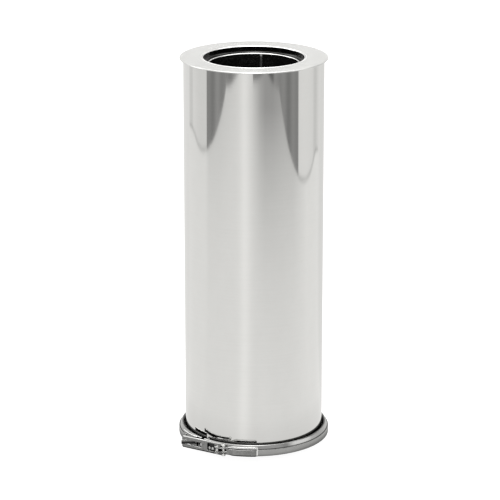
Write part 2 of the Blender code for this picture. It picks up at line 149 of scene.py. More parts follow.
def turned(name, section, material, body, start=0.0, sweep=360.0, steps=256, sharp=40.0,
           linings=()):
    """A closed section of (radius, z) in millimetres, turned about the pipe's axis.

    Each lining is another material and the section's sides that take it.
    """
    indices = {side: k + 1 for k, (_, sides) in enumerate(linings) for side in sides}
    whole = sweep >= 360.0
    solid = bmesh.new()
    rings = []
    for i in range(steps if whole else steps + 1):
        azimuth = start + sweep * i / steps
        rings.append([solid.verts.new(on_turn(radius, azimuth, z)) for radius, z in section])
    count = len(section)
    pairs = list(zip(rings, rings[1:] + rings[:1])) if whole else list(zip(rings, rings[1:]))
    for here, there in pairs:
        for i in range(count):
            j = (i + 1) % count
            face = solid.faces.new((here[i], here[j], there[j], there[i]))
            face.material_index = indices.get(i, 0)
    if not whole:
        solid.faces.new(rings[0])
        solid.faces.new(rings[-1])
    obj = new_object(name, finish_mesh(name, solid, sharp), material, body)
    for lining, _ in linings:
        obj.data.materials.append(lining)
    return obj


def lathed(name, section, place, material, body, steps=48, sharp=40.0):
    """An open section of (radius, height) from axis to axis, turned about the z of place."""
    solid = bmesh.new()
    first = solid.verts.new(place @ Vector((0, 0, section[0][1] * MM)))
    last = solid.verts.new(place @ Vector((0, 0, section[-1][1] * MM)))
    rings = []
    for radius, height in section[1:-1]:
        ring = []
        for i in range(steps):
            angle = 2 * math.pi * i / steps
            spot = (radius * math.cos(angle), radius * math.sin(angle), height)
            ring.append(solid.verts.new(place @ (Vector(spot) * MM)))
        rings.append(ring)
    for i in range(steps):
        j = (i + 1) % steps
        solid.faces.new((first, rings[0][i], rings[0][j]))
        solid.faces.new((last, rings[-1][j], rings[-1][i]))
        for here, there in zip(rings, rings[1:]):
            solid.faces.new((here[i], there[i], there[j], here[j]))
    return new_object(name, finish_mesh(name, solid, sharp), material, body)


def fillet(points, radii, steps=6):
    """An open line of points whose inner corners are rounded."""
    out = [points[0]]
    for i in range(1, len(points) - 1):
        here = Vector(points[i])
        before = Vector(points[i - 1]) - here
        after = Vector(points[i + 1]) - here
        reach = min(radii[i - 1], 0.45 * before.length, 0.45 * after.length)
        a = here + before.normalized() * reach
        b = here + after.normalized() * reach
        for k in range(steps + 1):
            t = k / steps
            out.append(tuple(a * (1 - t) ** 2 + here * 2 * t * (1 - t) + b * t ** 2))
    out.append(points[-1])
    return out


def thickened(line, sheet, steps=6):
    """A closed section of sheet whose outer side is a line that runs downwards."""
    points = [Vector(p) for p in line]
    inner = []
    for i, here in enumerate(points):
        before = points[max(i - 1, 0)]
        after = points[min(i + 1, len(points) - 1)]
        along = (after - before).normalized()
        inner.append(here + Vector((along.y, -along.x)) * sheet)
    section = [tuple(p) for p in points]

    def cap(a, b):
        """Points of the half circle from a round to b."""
        middle = (a + b) / 2
        arm = a - middle
        found = []
        for k in range(1, steps):
            angle = math.pi * k / steps
            turn = Matrix.Rotation(-angle, 2)
            found.append(tuple(middle + turn @ arm))
        return found

    section += cap(points[-1], inner[-1])
    section += [tuple(p) for p in reversed(inner)]
    section += cap(inner[0], points[0])
    return section


def outward(angle, height):
    """The matrix whose z points out from the pipe's axis, at an angle and height of the latch."""
    frame_turn = Matrix.Translation((0, 0, LATCH_Z * MM)) @ Matrix.Rotation(
        math.radians(LATCH_AZIMUTH + angle), 4, "Z"
    )
    lift = Matrix.Translation((0, 0, height * MM))
    return frame_turn @ lift @ Matrix.Rotation(math.pi / 2, 4, "X")


def upright(point):
    """The matrix of a vertical axis through a point of the latch frame."""
    turn = Matrix.Rotation(math.radians(LATCH_AZIMUTH), 4, "Z")
    place = Matrix.Translation((point[0] * MM, -point[1] * MM, LATCH_Z * MM))
    return turn @ place


def refined(node, voxel, smoothing, material, body):
    """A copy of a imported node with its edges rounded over, as pressed and tumbled metal has."""
    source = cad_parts[node]
    mesh = source.data.copy()
    scratch = bpy.data.objects.new("scratch", mesh)
    bpy.context.scene.collection.objects.link(scratch)
    weld = scratch.modifiers.new("Weld", "WELD")
    weld.merge_threshold = 0.000002
    remesh = scratch.modifiers.new("Remesh", "REMESH")
    remesh.mode = "VOXEL"
    remesh.voxel_size = voxel * MM
    smooth = scratch.modifiers.new("Smooth", "SMOOTH")
    smooth.factor = 0.5
    smooth.iterations = smoothing
    graph = bpy.context.evaluated_depsgraph_get()
    fine = bpy.data.meshes.new_from_object(scratch.evaluated_get(graph))
    bpy.data.objects.remove(scratch)
    fine.materials.clear()
    fine.shade_smooth()
    fine.name = node + "_fine"
    obj = new_object(node + "_fine", fine, material, body)
    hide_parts(node)
    return obj


# ---------------------------------------------------------------- materials

def node(tree, kind, **values):
    """A new shader node with some of its settings."""
    made = tree.nodes.new(kind)
    for key, value in values.items():
        setattr(made, key, value)
    return made


def noise(tree, coordinates, scale, stretch, detail, roughness):
    """Noise on stretched object coordinates, as a 0 to 1 value."""
    mapping = node(tree, "ShaderNodeMapping")
    mapping.inputs["Scale"].default_value = stretch
    tree.links.new(coordinates, mapping.inputs["Vector"])
    texture = node(tree, "ShaderNodeTexNoise")
    texture.inputs["Scale"].default_value = scale
    texture.inputs["Detail"].default_value = detail
    texture.inputs["Roughness"].default_value = roughness
    tree.links.new(mapping.outputs["Vector"], texture.inputs["Vector"])
    return texture.outputs["Fac"]


def ranged(tree, value, low, high, start=0.3, end=0.7):
    """Maps a noise's usual span onto low to high."""
    made = node(tree, "ShaderNodeMapRange")
    made.inputs["From Min"].default_value = start
    made.inputs["From Max"].default_value = end
    made.inputs["To Min"].default_value = low
    made.inputs["To Max"].default_value = high
    tree.links.new(value, made.inputs["Value"])
    return made.outputs["Result"]


def tinted(tree, value, dark, light):
    """A colour between dark and light."""
    mix = node(tree, "ShaderNodeMix", data_type="RGBA")
    mix.inputs["A"].default_value = (*dark, 1)
    mix.inputs["B"].default_value = (*light, 1)
    tree.links.new(value, mix.inputs["Factor"])
    return mix.outputs["Result"]


def bumped(tree, height, distance, under=None):
    """A bump normal, on top of another one where it is given."""
    bump = node(tree, "ShaderNodeBump")
    bump.inputs["Distance"].default_value = distance
    bump.inputs["Strength"].default_value = 1.0
    tree.links.new(height, bump.inputs["Height"])
    if under is not None:
        tree.links.new(under, bump.inputs["Normal"])
    return bump.outputs["Normal"]


def blank_material(name, metallic):
    """A Principled material with its tree, its shader and object coordinates."""
    material = bpy.data.materials.new(name)
    material.use_nodes = True
    tree = material.node_tree
    shader = tree.nodes["Principled BSDF"]
    shader.inputs["Metallic"].default_value = metallic
    coordinates = node(tree, "ShaderNodeTexCoord").outputs["Object"]
    return material, tree, shader, coordinates


def steel(name, dark, light, rough, lines, line_depth, wave=0.0, mottle=60.0):
    """Stainless sheet: fine rolling lines, cloudy tone and roughness, and a slow ripple."""
    material, tree, shader, coordinates = blank_material(name, 1.0)
    cloud = noise(tree, coordinates, mottle, (1, 1, 0.6), 4.0, 0.6)
    grain = noise(tree, coordinates, 1.0, lines, 2.0, 0.6)
    mixed = node(tree, "ShaderNodeMath", operation="MULTIPLY_ADD")
    mixed.inputs[1].default_value = 0.5
    tree.links.new(grain, mixed.inputs[0])
    half = node(tree, "ShaderNodeMath", operation="MULTIPLY")
    half.inputs[1].default_value = 0.5
    tree.links.new(cloud, half.inputs[0])
    tree.links.new(half.outputs[0], mixed.inputs[2])
    tone = tinted(tree, ranged(tree, mixed.outputs[0], 0, 1), dark, light)
    tree.links.new(tone, shader.inputs["Base Color"])
    tree.links.new(ranged(tree, mixed.outputs[0], rough[0], rough[1]), shader.inputs["Roughness"])
    normal = bumped(tree, grain, line_depth)
    if wave:
        ripple = noise(tree, coordinates, 9.0, (1, 1, 0.45), 1.0, 0.4)
        normal = bumped(tree, ripple, wave, normal)
    tree.links.new(normal, shader.inputs["Normal"])
    return material


def wool_material():
    """Pressed yellow-brown mineral wool with its fibres drawn out along the pipe."""
    material, tree, shader, coordinates = blank_material("mineral_wool", 0.0)
    fibres = noise(tree, coordinates, 1.0, (900, 900, 250), 6.0, 0.7)
    tone = tinted(tree, ranged(tree, fibres, 0, 1), (0.45, 0.37, 0.16), (0.72, 0.64, 0.38))
    tree.links.new(tone, shader.inputs["Base Color"])
    tree.links.new(ranged(tree, fibres, 0.85, 1.0), shader.inputs["Roughness"])
    tree.links.new(bumped(tree, fibres, 0.0006), shader.inputs["Normal"])
    return material


def rubber_material():
    """Matt black silicone with a fine grain."""
    material, tree, shader, coordinates = blank_material("seal_rubber", 0.0)
    grain = noise(tree, coordinates, 700.0, (1, 1, 1), 4.0, 0.6)
    tone = tinted(tree, ranged(tree, grain, 0, 1), (0.012, 0.012, 0.014), (0.03, 0.03, 0.032))
    tree.links.new(tone, shader.inputs["Base Color"])
    tree.links.new(ranged(tree, grain, 0.5, 0.7), shader.inputs["Roughness"])
    tree.links.new(bumped(tree, grain, 0.00005), shader.inputs["Normal"])
    return material


BRIGHT = steel("bright_steel", (0.64, 0.638, 0.625), (0.665, 0.662, 0.65), (0.035, 0.06),
               (14, 14, 900), 0.000001, 0.00003)
RING = steel("ring_steel", (0.57, 0.57, 0.562), (0.63, 0.63, 0.62), (0.18, 0.26),
             (240, 240, 240), 0.00001)
LIP = steel("lip_steel", (0.90, 0.90, 0.89), (0.96, 0.96, 0.95), (0.10, 0.16),
            (60, 60, 900), 0.000002)
# painted shade: a near-black steel on the socket's wall and shoulder, for the shade down in the
# socket
SOCKET_SHADE = steel("socket_shade_steel", (0.055, 0.055, 0.054), (0.09, 0.09, 0.089), (0.12, 0.20),
               (30, 30, 900), 0.000002)
# painted shade: a near-black steel for the liner and spigot, for the shade inside the bore
LINER_SHADE = steel("liner_steel", (0.085, 0.085, 0.084), (0.13, 0.13, 0.128), (0.22, 0.30),
              (40, 40, 90), 0.000002)
BAND = steel("band_steel", (0.30, 0.30, 0.296), (0.39, 0.39, 0.385), (0.14, 0.22),
             (40, 40, 1500), 0.000004)
# painted shade on the band's rolled edge and inner side, beside the dark gap at the casing
INSIDE_SHADE = steel("band_inside_shade_steel", (0.045, 0.045, 0.045), (0.08, 0.08, 0.079), (0.30, 0.42),
               (40, 40, 1200), 0.000004)
# painted shadow and dirt along the crease where the V's slope meets the strap
CREASE_SHADOW = steel("crease_shadow_steel", (0.07, 0.07, 0.069), (0.11, 0.11, 0.109), (0.26, 0.36),
               (40, 40, 1200), 0.000004)
# The latch's face steel, then a light copy of it for painted highlights on upper edges and a
# near-black copy for painted shade under and inside the pieces
LATCH = steel("latch_steel", (0.15, 0.15, 0.148), (0.29, 0.29, 0.286), (0.10, 0.20),
              (500, 500, 500), 0.000008, mottle=240.0)
EDGE_HIGHLIGHT = steel("latch_edge_highlight_steel", (0.72, 0.72, 0.71), (0.88, 0.88, 0.87), (0.10, 0.18),
             (500, 500, 500), 0.000006, mottle=240.0)
SHADE = steel("latch_shade_steel", (0.02, 0.02, 0.02), (0.05, 0.05, 0.05), (0.30, 0.44),
              (500, 500, 500), 0.000008, mottle=240.0)
PIN = steel("zinc_pin", (0.50, 0.50, 0.49), (0.64, 0.64, 0.63), (0.14, 0.24),
            (600, 600, 600), 0.00001, mottle=400.0)
BEAD = steel("weld_steel", (0.10, 0.10, 0.099), (0.20, 0.20, 0.198), (0.46, 0.60),
             (300, 300, 300), 0.00002, mottle=200.0)
WOOL = wool_material()
RUBBER = rubber_material()

# ---------------------------------------------------------------- the pipe

casing = turned(
    "casing_sheet",
    [
        (CASING_RADIUS, TOP_Z - RING_SHEET - FIT_GAP),
        (CASING_RADIUS, JOINT_Z + RING_SHEET + FIT_GAP),
        (CASING_RADIUS - SHEET, JOINT_Z + RING_SHEET + FIT_GAP),
        (CASING_RADIUS - SHEET, TOP_Z - RING_SHEET - FIT_GAP),
    ],
    BRIGHT, "pipe", steps=360,
)
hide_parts("outer_casing")


def ring_section(face, way, inner):
    """Section of an end ring with a rounded rim and a bent skirt.

    Its joint face lies at z = face, and way is 1 where that face looks up.
    """
    rim = RING_SHEET / 2
    points = []
    for k in range(9):
        angle = math.radians(90 - 180 * k / 8)
        points.append((RING_RADIUS - rim + rim * math.cos(angle), rim - rim * math.sin(angle)))
    points += [
        (SKIRT_OUTER + 1.2, RING_SHEET),
        (SKIRT_OUTER + 0.35, RING_SHEET + 0.35),
        (SKIRT_OUTER, RING_SHEET + 1.2),
        (SKIRT_OUTER, SKIRT_DEPTH),
        (SKIRT_INNER, SKIRT_DEPTH),
        (SKIRT_INNER, RING_SHEET),
        (inner + 0.2, RING_SHEET),
        (inner, RING_SHEET - 0.2),
        (inner, 0.2),
        (inner + 0.2, 0.0),
        (inner + RING_POLISH, 0.0),
    ]
    return [(radius, face - way * depth) for radius, depth in points]


top_line = ring_section(TOP_Z, 1, LIP_RADIUS + FIT_GAP)
top_polish = range(len(top_line) - 4, len(top_line) - 1)
top_ring = turned("top_ring_plate", top_line, RING, "pipe",
                  linings=[(LIP, top_polish)])
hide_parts("top_end_ring")
bottom_line = ring_section(JOINT_Z, -1, SLEEVE_INNER)
bottom_ring = turned("bottom_ring_plate", bottom_line, RING, "pipe")
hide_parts("bottom_end_ring")


def socket_section():
    """Section of the socket, and which of its sides are the wall and shoulder that take painted
    shade.

    It runs from the rolled lip down the outside, round the sleeve over the liner and up the wall.
    """
    lip = (LIP_RADIUS - SOCKET_RADIUS) / 2
    centre = SOCKET_RADIUS + lip
    points = []
    for k in range(13):
        angle = math.radians(-180 * k / 12)
        points.append((centre - lip * math.cos(angle), -lip - lip * math.sin(angle)))
    shoulder = -SOCKET_DEPTH
    outer = [
        (LIP_RADIUS, -1.2),
        (SOCKET_RADIUS + COLLAR_SHEET, -1.6),
        (SOCKET_RADIUS + COLLAR_SHEET, shoulder - COLLAR_SHEET),
        (SLEEVE_INNER + COLLAR_SHEET, shoulder - COLLAR_SHEET),
        (SLEEVE_INNER + COLLAR_SHEET, shoulder - COLLAR_SHEET - SLEEVE_LENGTH),
        (SLEEVE_INNER, shoulder - COLLAR_SHEET - SLEEVE_LENGTH),
        (SLEEVE_INNER, shoulder - COLLAR_SHEET),
        (BORE_RADIUS + 0.1, shoulder - COLLAR_SHEET),
    ]
    rim = []
    for k in range(9):
        angle = math.radians(90 * k / 8)
        radius = BORE_RADIUS + 1.3 * (1 - math.cos(angle))
        rim.append((radius, shoulder - 0.7 * (1 - math.sin(angle))))
    wall = fillet([rim[-1], (SOCKET_RADIUS, shoulder), (SOCKET_RADIUS, -0.9)], [1.3])[1:]
    section = points + outer + rim + wall
    # the wall and shoulder take the painted shade
    shaded_sides = range(len(section) - len(wall) - 1, len(section) - 1)
    return [(radius, TOP_Z + depth) for radius, depth in section], shaded_sides


socket_line, socket_shaded_sides = socket_section()
socket = turned("socket_collar_sheet", socket_line, LIP, "pipe", sharp=50.0,
                linings=[(SOCKET_SHADE, socket_shaded_sides)])
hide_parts("socket_collar")

# the liner in the dark steel of painted shade
liner = turned(
    "liner_tube",
    [
        (BORE_RADIUS + SHEET, TOP_Z - 9.1),
        (BORE_RADIUS + SHEET, JOINT_Z),
        (BORE_RADIUS, JOINT_Z),
        (BORE_RADIUS, TOP_Z - 9.1),
    ],
    LINER_SHADE, "pipe",
)
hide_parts("inner_liner")


def weld_bead(name, radius, side, azimuth, low, high, width, rise, material):
    """A flat weld bead along the pipe, standing off a wall of that radius; side is 1 outside."""
    solid = bmesh.new()
    rows = []
    steps = 120
    for i in range(steps + 1):
        z = low + (high - low) * i / steps
        row = []
        for k in range(7):
            across = -1 + 2 * k / 6
            bulge = rise * math.cos(across * math.pi / 2) - 0.05
            shift = math.degrees(across * width / 2 / radius)
            row.append(solid.verts.new(on_turn(radius + side * bulge, azimuth + shift, z)))
        rows.append(row)
    for here, there in zip(rows, rows[1:]):
        for k in range(6):
            solid.faces.new((here[k], here[k + 1], there[k + 1], there[k]))
    mesh = finish_mesh(name, solid, 60.0)
    obj = new_object(name, mesh, material, "pipe")
    thick = obj.modifiers.new("Sheet", "SOLIDIFY")
    thick.thickness = 0.1 * MM
    thick.offset = 0
    return obj


weld_bead("liner_seam", BORE_RADIUS, -1, LINER_SEAM, 56.0, TOP_Z - 9.3, 3.0, 0.22,
          BEAD)
weld_bead("casing_seam", CASING_RADIUS, 1, CASING_SEAM, 16.0, TOP_Z - 2.0, 1.1, 0.09,
          PIN)

# the spigot in the same dark steel of painted shade
spigot = turned(
    "spigot_sheet",
    [
        (SPIGOT_OUTER, SPIGOT_TOP),
        (SPIGOT_OUTER, 1.6),
        (SPIGOT_OUTER - 0.35, 0.25),
        (SPIGOT_OUTER - 0.5, 0.0),
        (SPIGOT_OUTER - COLLAR_SHEET, 0.0),
        (SPIGOT_OUTER - COLLAR_SHEET, SPIGOT_TOP),
    ],
    LINER_SHADE, "pipe",
)
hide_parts("spigot_collar")


def seal_section():
    """Ring with two soft lips, drawn from its top to its bottom on the outside."""
    top = JOINT_Z - FIT_GAP
    low = top - 5.0
    line = fillet(
        [
            (BORE_RADIUS, top), (SEAL_ROOT, top), (SEAL_TIP, top - 1.0), (SEAL_ROOT, top - 2.0),
            (SEAL_ROOT, top - 3.0), (SEAL_TIP, top - 4.0), (SEAL_ROOT, low), (BORE_RADIUS, low),
        ],
        [0.4, 0.5, 0.5, 0.5, 0.5, 0.4],
    )
    return line


seal = turned("seal_ring", seal_section(), RUBBER, "pipe")
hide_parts("spigot_seal")

for side in ("insulation_left", "insulation_right"):
    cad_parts[side].data.materials.clear()
    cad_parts[side].data.materials.append(WOOL)

# ---------------------------------------------------------------- the band

def v_line():
    """Outer side of the V section, from its long upper lip to its short lower one."""
    low, high = V_SPAN
    strap_low, strap_high = STRAP_SPAN
    points = [
        (92.3, high - 1.9), (93.3, high - 0.8), (95.3, high - 1.1), (97.1, strap_high + 1.0),
        (V_APEX, strap_high - 0.2), (V_APEX, strap_low + 0.2), (V_APEX - 0.8, low + 0.3),
        (93.3, low), (92.7, low + 0.5),
    ]
    return fillet(points, [0.9, 2.2, 1.2, 0.9, 0.9, 0.8, 0.5])


def strap_line():
    """Outer side of the strap, slightly crowned between its rounded edges."""
    low, high = STRAP_SPAN
    middle = (low + high) / 2
    half = (high - low) / 2
    points = []
    for k in range(13):
        share = 1 - 2 * k / 12
        crown = BAND_OUTER - 0.05 - 0.12 * share ** 2
        points.append((crown, middle + (half - 0.25) * share))
    return points


def v_linings(line, steps=6):
    """Painted shade on the rolled edge and inner side, and a line of painted shadow and dirt where
    the slope meets the strap.
    """
    inner = len(line) + steps - 1
    shaded = [*range(steps + 2), *range(inner, len(line) * 2 + 2 * steps - 2)]
    return [(INSIDE_SHADE, shaded), (CREASE_SHADOW, range(18, 28))]


slit = math.degrees(1 / BAND_OUTER)  # a millimetre each side of the joint at the back
band_start = LATCH_AZIMUTH + BAND_GAP[1]
band_sweep = 360 - (BAND_GAP[1] - BAND_GAP[0])
strap = turned("strap_sheet", thickened(strap_line(), STRAP_SHEET - 0.1), BAND, "band",
               band_start, band_sweep, 356, 50.0)
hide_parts("band_strap")
right_sweep = BACK_JOINT - slit - BAND_GAP[1]
v_section = v_line()
v_right = turned("v_sheet_right", thickened(v_section, V_SHEET), BAND, "band",
                 band_start, right_sweep, 178, 50.0, v_linings(v_section))
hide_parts("v_retainer_right")
left_sweep = 360 + BAND_GAP[0] - BACK_JOINT - slit
v_left = turned("v_sheet_left", thickened(v_section, V_SHEET), BAND, "band",
                LATCH_AZIMUTH + BACK_JOINT + slit, left_sweep, 178, 50.0, v_linings(v_section))
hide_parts("v_retainer_left")

# ---------------------------------------------------------------- the latch

# Where a latch piece takes painted highlight or painted shade, or changes its shape, in millimetres
# of the latch's own frame
PLATE_EDGE = 6.6  # above this the keeper's plate is bright
TONGUE_UNDER = 0.6  # below this its tongue is in shade
LINK_BRIGHT = 7.0
LINK_UNDER = -6.4
LEVER_GROOVE = (2.4, 4.2)
LEVER_UNDER = -4.7
LEVER_RIM = 1.3
LEVER_GRIP = 26.0  # across, where the lever's grip starts
TONGUE_BEND = -40.0  # across, from where the tongue's end is drawn back
TONGUE_RISE = 0.722  # how far the tongue runs out for each millimetre across
# the face steel, the painted highlight and the painted shade
FACE, HIGHLIGHTED, SHADED = 0, 1, 2  # a latch piece's three materials
VOXEL = 0.22


def latch_places(points):
    """Across, outward and upward distances of points in the latch's own frame, and their radius."""
    turn = math.radians(LATCH_AZIMUTH)
    across = points[:, 0] * math.cos(turn) + points[:, 1] * math.sin(turn)
    out = points[:, 0] * math.sin(turn) - points[:, 1] * math.cos(turn)
    up = points[:, 2] / MM - LATCH_Z
    return across / MM, out / MM, up, np.hypot(points[:, 0], points[:, 1]) / MM


def vertex_points(mesh):
    """A mesh's vertices as rows of x, y and z."""
    points = np.empty(len(mesh.vertices) * 3)
    mesh.vertices.foreach_get("co", points)
    return points.reshape(-1, 3)


def move_vertices(mesh, points):
    """Puts a mesh's vertices at rows of x, y and z."""
    mesh.vertices.foreach_set("co", points.ravel())
    mesh.update()


def painted(obj, choose):
    """Gives each face of a latch piece its face steel, painted highlight or painted shade by its
    place and direction.
    """
    mesh = obj.data
    mesh.materials.append(EDGE_HIGHLIGHT)
    mesh.materials.append(SHADE)
    centres = np.empty(len(mesh.polygons) * 3)
    normals = np.empty(len(mesh.polygons) * 3)
    mesh.polygons.foreach_get("center", centres)
    mesh.polygons.foreach_get("normal", normals)
    centres = centres.reshape(-1, 3)
    normals = normals.reshape(-1, 3)
    across, out, up, radius = latch_places(centres)
    facing = (centres[:, :2] * normals[:, :2]).sum(axis=1) / (radius * MM)
    look = choose(across, out, up, radius, facing)
    # faces turned up take the painted highlight, faces turned down the painted shade
    look[normals[:, 2] > 0.5] = HIGHLIGHTED
    look[normals[:, 2] < -0.35] = SHADED
    mesh.polygons.foreach_set("material_index", look.astype(np.int32))


def keeper_look(across, out, up, radius, facing):
    """A painted highlight on the plate's top edge, and painted shade under the tongue and on the
    inside.
    """
    look = np.full(len(up), FACE)
    tongue = radius > PLATE_OUTER + 0.4
    look[tongue & (up < TONGUE_UNDER)] = SHADED
    look[(facing > 0.4) & (up > PLATE_EDGE)] = HIGHLIGHTED
    look[facing < -0.3] = SHADED
    return look


def bracket_look(across, out, up, radius, facing):
    """Painted shade on the base plate behind the raised ears."""
    look = np.full(len(up), FACE)
    look[radius < PLATE_OUTER + 0.4] = SHADED
    return look


def link_look(across, out, up, radius, facing):
    """A painted highlight on the top edge and eyes, and painted shade along the bottom and on the
    inside.
    """
    look = np.full(len(up), FACE)
    look[facing < -0.3] = SHADED
    look[(facing > 0.4) & (up > LINK_BRIGHT)] = HIGHLIGHTED
    look[(facing > 0.4) & (up < LINK_UNDER)] = SHADED
    from_pin = np.hypot(across - LINK_PIVOT[0], out - LINK_PIVOT[1])
    look[from_pin < LINK_EYE + 0.3] = HIGHLIGHTED
    return look


def lever_look(across, out, up, radius, facing):
    """A painted highlight above painted shade in the groove along the grip, a painted highlight on
    the end and painted shade along the bottom edge.
    """
    look = np.full(len(up), FACE)
    low, high = LEVER_GROOVE
    front = facing > 0.4
    grip = across > LEVER_GRIP
    look[front & grip & (up > high)] = HIGHLIGHTED
    look[front & grip & (up > low) & (up <= high)] = SHADED
    look[front & (across > across.max() - LEVER_RIM)] = HIGHLIGHTED
    look[front & (up < LEVER_UNDER)] = SHADED
    return look


def trimmed(obj):
    """Draws the end of the keeper's tongue back towards the bar that it holds."""
    points = vertex_points(obj.data)
    across, out, up, radius = latch_places(points)
    back = np.where(radius > PLATE_OUTER + 2, 0.55 * np.clip(TONGUE_BEND - across, 0, None), 0) * MM
    turn = math.radians(LATCH_AZIMUTH)
    points[:, 0] += back * (math.cos(turn) - TONGUE_RISE * math.sin(turn))
    points[:, 1] += back * (math.sin(turn) + TONGUE_RISE * math.cos(turn))
    move_vertices(obj.data, points)


def pressed(obj):
    """Rolls the lever's long edges inwards and presses a groove along its grip."""
    points = vertex_points(obj.data)
    across, out, up, radius = latch_places(points)
    outer = smooth_step(LEVER_OUTER - 0.7, LEVER_OUTER - 0.2, radius)
    groove = between(2.6, 4.0, 0.3, up) * smooth_step(LEVER_GRIP, LEVER_GRIP + 2, across)
    rolled = np.clip((np.abs(up) - 4.6) / 2.4, 0, 1) ** 2
    points[:, :2] *= (1 - outer * (0.35 * groove + 0.6 * rolled) / radius)[:, None]
    narrower = 0.09 * smooth_step(LEVER_GRIP, LEVER_GRIP + 4, across)
    points[:, 2] -= narrower * (points[:, 2] - LATCH_Z * MM)
    move_vertices(obj.data, points)


keeper = refined("keeper_hook", VOXEL, 4, LATCH, "band")
trimmed(keeper)
painted(keeper, keeper_look)
painted(refined("lever_bracket", VOXEL, 4, LATCH, "band"), bracket_look)
painted(refined("draw_link", VOXEL, 5, LATCH, "link"), link_look)
lever = refined("latch_lever", VOXEL, 5, LATCH, "lever")
pressed(lever)
painted(lever, lever_look)


def rivet(replaced, angle, height):
    """A domed rivet from its head on a latch plate to its upset end inside the V."""
    head = PLATE_OUTER + 0.3
    inside = BAND_OUTER - STRAP_SHEET - V_SHEET - 0.6
    dome = []
    for k in range(8):
        turn = math.radians(90 * k / 7)
        dome.append((RIVET_HEAD * math.sin(turn), head + 0.15 + 0.75 * math.cos(turn)))
    section = [(0, dome[0][1])] + dome[1:] + [
        (RIVET_HEAD, head), (RIVET_SHANK, head), (RIVET_SHANK, inside), (1.6, inside),
        (1.55, inside - 0.4), (1.2, inside - 0.5), (0, inside - 0.5),
    ]
    obj = lathed(replaced + "_head", section, outward(angle, height), PIN, "band")
    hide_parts(replaced)


for rivet_name, (rivet_angle, rivet_height) in RIVETS.items():
    rivet(rivet_name, rivet_angle, rivet_height)


def weld_spot(name, angle, height):
    """A small nub of painted highlight in a ring of painted shade, where the keeper's plate is spot
    welded.
    """
    place = outward(angle, height)
    ring = [
        (0, PLATE_OUTER + 0.12), (1.9, PLATE_OUTER + 0.12), (2.2, PLATE_OUTER - 0.1),
        (0, PLATE_OUTER - 0.1),
    ]
    nub = [
        (0, PLATE_OUTER + 0.55), (0.5, PLATE_OUTER + 0.5), (0.85, PLATE_OUTER + 0.3),
        (0.95, PLATE_OUTER), (0, PLATE_OUTER),
    ]
    # the ring is painted shade, the nub painted highlight
    lathed(name + "_ring", ring, place, SHADE, "band")
    lathed(name + "_nub", nub, place, EDGE_HIGHLIGHT, "band")


weld_spot("keeper_weld", *WELD_SPOT)


def peened_pin(name, replaced, point, half, body):
    """A pin with domed ends."""
    ends = [(0, half), (0.9, half - 0.04), (1.3, half - 0.16), (PIN_RADIUS, half - 0.4)]
    section = ends + [(radius, -height) for radius, height in reversed(ends)]
    obj = lathed(name, section, upright(point), PIN, body)
    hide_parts(replaced)


peened_pin("lever_pin_bar", "lever_pivot_pin", LEVER_PIVOT, LEVER_PIN_HALF, "band")
peened_pin("link_pin_bar", "link_pin", LINK_PIVOT, LINK_PIN_HALF, "lever")

# ---------------------------------------------------------------- camera

heading = math.radians(CAMERA_AZIMUTH)
camera_data = bpy.data.cameras.new("camera")
camera_data.lens = CAMERA_LENS
camera_data.sensor_width = 36.0
camera_data.clip_end = 100.0
camera = bpy.data.objects.new("camera", camera_data)
camera.location = (
    CAMERA_DISTANCE * math.sin(heading),
    -CAMERA_DISTANCE * math.cos(heading),
    CAMERA_HEIGHT,
)
camera.rotation_euler = (
    math.radians(90 - CAMERA_PITCH),
    0,
    heading + math.radians(CAMERA_YAW),
)
bpy.context.scene.collection.objects.link(camera)
bpy.context.scene.camera = camera

# ---------------------------------------------------------------- studio

# The white sweep under the pipe, in metres from its axis: forward is towards the camera
SWEEP_LEFT = -1.655
SWEEP_RIGHT = 1.435
SWEEP_FRONT = 2.305
SWEEP_CORNER_LEFT = 3.16  # where its front corners are cut off, forward and across added up
SWEEP_CORNER_RIGHT = 3.11
SWEEP_EDGE = 0.012
SHELL_RADIUS = 6.0
FLOOR_RADIUS = 60.0

# Azimuth from the camera, brightness beside the pipe, and how much is lost by the sweep's edge
SWEEP_LIGHT = (
    (-180, 1.05, 0.05), (-110, 1.05, 0.05), (-84, 1.06, 0.08), (-76, 1.04, 0.24),
    (-58, 1.04, 0.24), (-31, 1.04, 0.13), (-16, 1.04, 0.05), (-3, 1.03, 0.16),
    (3, 1.03, 0.30), (10, 1.04, 0.50), (18, 1.04, 0.62), (30, 1.03, 0.60),
    (45, 1.02, 0.50), (66, 1.04, 0.46), (94, 1.08, 0.06), (180, 1.04, 0.05),
)

# The same behind the pipe, at any distance
BACK_LIGHT = (
    (-180, 0.90), (-150, 0.94), (-130, 1.0), (130, 0.98), (150, 0.86), (180, 0.80),
)


